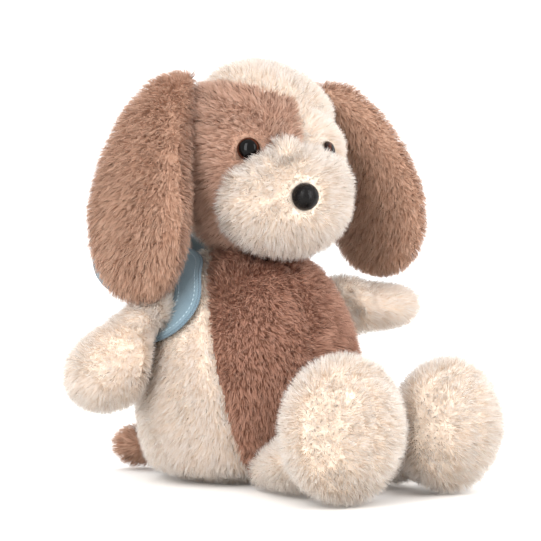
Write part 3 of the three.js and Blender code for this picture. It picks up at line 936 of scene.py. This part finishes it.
def smooth_path(points, count):
    """A smooth path of count points through the given ones, by Catmull-Rom."""
    points = np.asarray(points, float)
    ends = np.vstack([2 * points[0] - points[1], points, 2 * points[-1] - points[-2]])
    found = []
    for place in np.linspace(0, len(points) - 1, count):
        k = min(int(place), len(points) - 2)
        t = place - k
        p0, p1, p2, p3 = ends[k : k + 4]
        bend = (2 * p0 - 5 * p1 + 4 * p2 - p3) * t**2 + (3 * p1 - p0 - 3 * p2 + p3) * t**3
        found.append(p1 + (p2 - p0) * t / 2 + bend / 2)
    return np.array(found)


def evened(rows, times=40):
    """Rows smoothed along their length, the two ends staying where they are."""
    rows = rows.copy()
    for _ in range(times):
        rows[1:-1] = (rows[:-2] + 2 * rows[1:-1] + rows[2:]) / 4
    return rows


def travelled(line):
    """The distance gone along a line at each of its points."""
    return np.concatenate([[0], np.cumsum(np.linalg.norm(np.diff(line, axis=0), axis=1))])


def resampled(line, steps):
    """The same line at evenly spaced points."""
    gone = travelled(line)
    along = np.linspace(0, gone[-1], steps)
    return np.stack([np.interp(along, gone, line[:, axis]) for axis in range(3)], 1)


def swept(name, centres, across, out, section, closed=False):
    """A section swept along centres. Each section point is (part across, part outwards)."""
    section = np.asarray(section, float)
    part_across = across[:, None] * section[:, :1]
    part_out = out[:, None] * section[:, 1:]
    rings = centres[:, None] + part_across + part_out
    count, sides = len(centres), len(section)
    faces = []
    for ring in range(count if closed else count - 1):
        here, after = ring * sides, (ring + 1) % count * sides
        for k in range(sides):
            beside = (k + 1) % sides
            faces.append((here + k, here + beside, after + beside, after + k))
    if not closed:
        faces.append(tuple(reversed(range(sides))))
        faces.append(tuple(range((count - 1) * sides, count * sides)))
    return built(name, rings.reshape(-1, 3), faces)


def weave_places(piece, across, along):
    """Tells the weave where each point lies on the cloth, in threads across and along."""
    for label, values in (("across", across), ("along", along)):
        attribute = piece.data.attributes.new(label, "FLOAT", "POINT")
        attribute.data.foreach_set("value", (np.asarray(values) / THREAD).astype(np.float32))


def woven_blue(name, dark, light):
    """Plain-woven pale blue cloth, its threads raised and its colour a little uneven, with painted
    shade: darker in the dips between threads, lighter on their crowns.
    """
    shader = Shader(name, Roughness=0.8, Specular_IOR_Level=0.2, Sheen_Weight=0.15)
    turns = 2 * math.pi
    warp = shader.maths("SINE", shader.maths("MULTIPLY", shader.attribute("across"), turns), 0.0)
    weft = shader.maths("SINE", shader.maths("MULTIPLY", shader.attribute("along"), turns), 0.0)
    threads = shader.maths("MULTIPLY", warp, weft)
    height = shader.maths("MULTIPLY_ADD", threads, 0.5)
    height.node.inputs[2].default_value = 0.5
    shader.bump(height, 0.9, 0.0005)
    worn = shader.maths("MULTIPLY_ADD", shader.noise(60.0), 0.35)
    worn.node.inputs[2].default_value = 0.3
    # painted shade from the threads' height, plus a random unevenness of colour
    thread_shade_and_tone = shader.maths("ADD", shader.maths("MULTIPLY", height, 0.5), worn)
    return shader.finish(shader.ramp(thread_shade_and_tone, (0.3, dark), (0.8, light)))


def rounded_section(width, thickness, sides=6):
    """The outline of a flat band with round edges, in order round it."""
    radius = thickness / 2
    flat = width / 2 - radius
    angles = np.linspace(-math.pi / 2, math.pi / 2, sides)
    right = [(flat + radius * math.cos(angle), radius * math.sin(angle)) for angle in angles]
    left = [(-x, -y) for x, y in right]
    return right + left


def frame_along(centres, facing, closed=False):
    """The directions across and out of a band that lies along centres and faces one way."""
    ahead = np.roll(centres, -1, 0) - np.roll(centres, 1, 0)
    if not closed:
        ahead[0], ahead[-1] = centres[1] - centres[0], centres[-1] - centres[-2]
    across = unit(np.cross(ahead, facing))
    return across, unit(np.cross(across, ahead))


def strap_line(side):
    """The middle of one strap and the way it faces, laid on the torso's own surface."""
    torso = tree_of(*cad(*panels_of(forms["torso"])))
    out = OUTWARDS[side]
    bag_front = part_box("bag_back_panel")[0].y
    top_across, top_up = STRAP_TOP
    shoulder_across, shoulder_back, shoulder_up = STRAP_SHOULDER
    end_across, end_up = STRAP_END
    places = [
        (out * top_across, bag_front, top_up),
        (out * shoulder_across, shoulder_back, shoulder_up),
    ]
    faces = [(0, -0.4, 1), (out * 0.2, 0.1, 1)]  # upwards, as it lies over the shoulder
    for heading, height in STRAP_ROUTE:
        turn = math.radians(heading)
        ray = Vector((out * math.sin(turn), -math.cos(turn), 0))
        hit, normal, _, _ = torso.ray_cast(ray * FAR + Vector((0, 0, height * MM)), -ray)
        normal = normal if normal.dot(ray) > 0 else -normal
        places.append(hit + normal * (STRAP_LIFT + STRAP_THICKNESS / 2))
        faces.append(normal)
    places.append((out * end_across, bag_front, end_up))
    faces.append((out * 0.3, 0.9, -0.3))  # backwards, as it meets the bag
    line = evened(smooth_path([tuple(p) for p in places], STRAP_STEPS))
    return line, unit(evened(smooth_path([tuple(f) for f in faces], STRAP_STEPS)))


def studs(name, line, across, out, length, gap, thick, wide=None):
    """Short blocks with tapered ends along a line: stitches, or the teeth of a zip."""
    gone = travelled(line)
    wide = wide or thick
    points, faces = [], []
    for start in np.arange(0, gone[-1] - length, length + gap):
        first = len(points)
        for share, size in ((0, 0.3), (0.3, 1), (0.7, 1), (1, 0.3)):
            at = start + share * length
            middle = np.array([np.interp(at, gone, line[:, axis]) for axis in range(3)])
            k = min(np.searchsorted(gone, at), len(line) - 1)
            for way_across, way_out in ((1, 0), (0, 1), (-1, 0), (0, -1)):
                aside = across[k] * way_across * wide + out[k] * way_out * thick
                points.append(middle + aside * size)
        for ring in range(3):
            for k in range(4):
                low, beside = first + ring * 4 + k, first + ring * 4 + (k + 1) % 4
                faces.append((low, beside, beside + 4, low + 4))
        faces.append((first + 3, first + 2, first + 1, first))
        faces.append((first + 12, first + 13, first + 14, first + 15))
    return built(name, points, faces)


def finish_blue(piece, material, *nodes):
    piece.data.materials.append(material)
    if nodes:
        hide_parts(*nodes)
    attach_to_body(piece, "torso")


cloth = woven_blue("blue_cloth", "5c7481", "839ba8")
# Darker blue for the cords and the zip tape; on the strap's edges it is partly painted shade, the
# shadow line between strap and fur.
edging = woven_blue("blue_edging", "4b5c66", "6f8491")
thread = speckled("blue_thread", "8fa7b4", "b3c6d0", Roughness=0.6, Sheen_Weight=0.2)
zip_metal = speckled("zip_metal", "8d9297", "b4b8bb", Roughness=0.35, Metallic=0.9)



def band(name, line, across, out, section, material, *nodes):
    """A woven band or cord with this section, along a line."""
    piece = swept(name, line, across, out, section)
    weave_places(
        piece,
        np.tile([x for x, _ in section], len(line)),
        np.repeat(travelled(line), len(section)),
    )
    finish_blue(piece, material, *nodes)


def cord(name, line, across, out, radius, along, closed=False):
    """A round woven cord along a line, with its place in the weave at each point of the line."""
    angles = np.linspace(0, 2 * math.pi, CORD_SIDES + 1)[:-1]
    section = np.array([(math.cos(angle), math.sin(angle)) for angle in angles]) * radius
    tube = swept(name, line, across, out, section, closed)
    turns = np.arange(CORD_SIDES) * THREAD / 2
    weave_places(tube, np.tile(turns, len(line)), np.repeat(along, CORD_SIDES))
    finish_blue(tube, edging)


def strap(side):
    """One strap: webbing with a darker cord and a row of stitches along each edge. The cords' darker
    blue is partly painted shade, standing in for the shadow line along the strap's edges.
    """
    line, facing = strap_line(side)
    across, out = frame_along(line, facing)
    section = rounded_section(STRAP_WIDTH - PIPING, STRAP_THICKNESS)
    band(f"strap_webbing_{side}", line, across, out, section, cloth, f"strap_{side}")
    for edge, way in (("inner", -1), ("outer", 1)):
        hem = line + across * way * (STRAP_WIDTH - PIPING) / 2
        cord(f"strap_edge_{edge}_{side}", hem, across, out, PIPING, travelled(line))
        seam = line + across * way * (STRAP_WIDTH / 2 - STITCH_INSET) + out * STRAP_THICKNESS / 2
        finish_blue(studs(f"strap_stitches_{edge}_{side}", seam, across, out, *STITCH), thread)


def bag():
    """The padded bag. Gives its surface, and the corners of its box."""
    nodes = ("bag_back_panel", "bag_gusset", "bag_front_panel", "bag_stuffing")
    body = built("bag_body", *cad(*nodes))
    modified(body, "REMESH", mode="VOXEL", voxel_size=BAG_VOXEL, adaptivity=0)
    modified(body, "SMOOTH", factor=0.5, iterations=6)
    modified(body, "DISPLACE", strength=-BAG_INSET, mid_level=0)
    inflated(body, BAG_SWELL)
    modified(body, "SUBSURF", levels=1, render_levels=1)
    points, triangles = arrays_of(body.data)
    normals = normals_of(points, triangles)
    low, high = points.min(0), points.max(0)
    aside, _, up = (points - (low + high) / 2).T
    round_way = np.arctan2(up, aside) * (high - low)[0] / 2
    flat_face = np.abs(normals[:, 1]) > 0.6
    weave_places(
        body,
        np.where(flat_face, points[:, 0], points[:, 1]),
        np.where(flat_face, points[:, 2], round_way),
    )
    finish_blue(body, cloth, *nodes)
    return tree_of(points, triangles), low, high


def rounded_outline(low, high, corner, y):
    """A rounded upright rectangle across the bag at this depth, from its left side over its top."""
    middle, half = (low + high) / 2, (high - low) / 2
    outline = []
    for quarter, (x_way, z_way) in enumerate(((1, 1), (-1, 1), (-1, -1), (1, -1))):
        for k in range(CORNER_STEPS):
            angle = math.pi / 2 * (quarter + k / CORNER_STEPS)
            x = middle[0] + x_way * (half[0] - corner) + corner * math.cos(angle)
            z = middle[2] + z_way * (half[2] - corner) + corner * math.sin(angle)
            outline.append((x, y, z))
    return np.array(outline)


def closed_outline(low, high, corner, y):
    """The same rectangle as an evenly spaced loop."""
    outline = rounded_outline(low, high, corner, y)
    return resampled(np.vstack([outline, outline[:1]]), OUTLINE_STEPS + 1)[:-1]


def laid(surface, line, outwards):
    """A line moved onto a surface, each point along its own way out."""
    starts = line + outwards * FAR
    found = [surface.ray_cast(start, -way)[0] for start, way in zip(starts, outwards, strict=True)]
    return np.array(found)


def looped_cord(name, line, facing, radius):
    across, out = frame_along(line, facing, closed=True)
    cord(name, line, across, out, radius, np.arange(len(line)) * THREAD * 3, closed=True)


def edge_piping(surface, low, high):
    """A cord round each of the bag's two faces, on its rounded edge."""
    middle = (low + high) / 2
    for name, y, face_way in (("front", low[1], -1), ("back", high[1], 1)):
        outline = closed_outline(low, high, BAG_CORNER, y)
        edge_way = unit(unit(outline - [middle[0], y, middle[2]]) + [0, face_way, 0])
        looped_cord(f"bag_piping_{name}", laid(surface, outline, edge_way), edge_way, PIPING * 1.2)


def zip_fastener(surface, low, high):
    """A zip over the top of the bag: tape, teeth, slider and pull."""
    middle = (low + high) / 2
    over_top = rounded_outline(low, high, BAG_CORNER, middle[1])[: 2 * CORNER_STEPS]
    over_top = resampled(over_top, ZIP_STEPS)
    line = evened(laid(surface, over_top, unit(over_top - middle)), 8)
    across, out = frame_along(line, unit(line - middle))
    band("bag_zip_tape", line, across, out, rounded_section(ZIP_WIDTH, ZIP_THICKNESS), edging)
    teeth = studs("bag_zip_teeth", line + out * TOOTH_LIFT, across, out, *ZIP_TOOTH)
    finish_blue(teeth, zip_metal)

    at = len(line) // 5
    span = slice(at, at + SLIDER_STEPS)
    slider_line = line[span] + out[span] * SLIDER_LIFT
    section = rounded_section(*SLIDER)
    slider = swept("bag_zip_slider", slider_line, across[span], out[span], section)
    finish_blue(slider, zip_metal)

    hang = np.linspace(0, 1, 8)[:, None]
    start = line[at] + out[at] * PULL_LIFT
    pull = swept(
        "bag_zip_pull",
        start + hang * (across[at] * PULL_LENGTH - out[at] * PULL_DROP),
        np.repeat(unit(line[at + 1] - line[at])[None], len(hang), 0),
        np.repeat(out[at][None], len(hang), 0),
        rounded_section(*PULL),
    )
    finish_blue(pull, zip_metal)


def pocket(surface, low, high):
    """A flat pocket on the back of the bag: its edge and its hem."""
    foot, top = POCKET_HEIGHTS
    pocket_low = np.array([low[0] + POCKET_SIDE, 0, low[2] + foot])
    pocket_high = np.array([high[0] - POCKET_SIDE, 0, low[2] + top])
    backwards = np.tile(-FORWARD, (OUTLINE_STEPS, 1))
    for name, inset, radius in (("edge", 0, POCKET_CORD), ("hem", HEM_INSET, HEM_CORD)):
        outline = closed_outline(pocket_low + inset, pocket_high - inset, POCKET_CORNER - inset, 0)
        looped_cord(f"bag_pocket_{name}", laid(surface, outline, backwards), backwards, radius)


for side in SIDES:
    strap(side)
bag_shape = bag()
for trim in (edge_piping, zip_fastener, pocket):
    trim(*bag_shape)


# ---------------------------------------------------------------- stage, light and camera


FLOOR_REACH = 4.0
SKY_STRENGTH = 1.6
LAMP_TARGET = (0, 0, 0.11)
# Each lamp's place, width, height and power in watts.
LAMPS = {
    "key_light": ((-1.0, -0.55, 0.5), 0.3, 0.9, 7.5),
    "fill_light": ((0.2, -1.1, 0.45), 0.3, 0.9, 6),
    "left_light": ((1.1, -0.2, 0.3), 0.8, 0.8, 1),
    "top_light": ((0.1, 0.2, 1.1), 0.8, 0.8, 3),
}
CAMERA_AZIMUTH = math.radians(-38)
CAMERA_ELEVATION = math.radians(-1.75)
CAMERA_DISTANCE = 0.760
CAMERA_TARGET = Vector((0.009, -0.007, 0.115))
CAMERA_LENS = 90.3
CAMERA_SENSOR = 36


def area_light(name, place, width, height, power):
    """A soft lamp that shines on the dog's middle."""
    lamp = bpy.data.lights.new(name, "AREA")
    lamp.shape = "RECTANGLE"
    lamp.size = width
    lamp.size_y = height
    lamp.energy = power
    holder = bpy.data.objects.new(name, lamp)
    bpy.context.scene.collection.objects.link(holder)
    holder.location = place
    holder.rotation_euler = (Vector(LAMP_TARGET) - Vector(place)).to_track_quat("-Z", "Y").to_euler()


def studio():
    """A pale seamless floor, an even sky and four soft lamps."""
    corners = [(x * FLOOR_REACH, y * FLOOR_REACH, 0) for x, y in ((-1, -1), (1, -1), (1, 1), (-1, 1))]
    floor = built("floor", corners, [(0, 1, 2, 3)])
    floor.data.materials.append(speckled("floor_paper", "f4f3f1", "f8f7f5", 3.0, Roughness=0.9))
    world = bpy.data.worlds.new("studio")
    bpy.context.scene.world = world
    world.use_nodes = True
    sky = world.node_tree.nodes["Background"]
    sky.inputs["Color"].default_value = linear("ffffff")
    sky.inputs["Strength"].default_value = SKY_STRENGTH
    for name, settings in LAMPS.items():
        area_light(name, *settings)


def camera():
    """A camera from the dog's front right, a little below its middle."""
    level, rise = math.cos(CAMERA_ELEVATION), math.sin(CAMERA_ELEVATION)
    back = Vector((math.sin(CAMERA_AZIMUTH) * level, -math.cos(CAMERA_AZIMUTH) * level, rise))
    data = bpy.data.cameras.new("camera")
    data.lens = CAMERA_LENS
    data.sensor_width = CAMERA_SENSOR
    holder = bpy.data.objects.new("camera", data)
    bpy.context.scene.collection.objects.link(holder)
    holder.location = CAMERA_TARGET + back * CAMERA_DISTANCE
    holder.rotation_euler = (-back).to_track_quat("-Z", "Y").to_euler()
    bpy.context.scene.camera = holder


studio()
camera()
bpy.context.scene.view_settings.view_transform = "Standard"
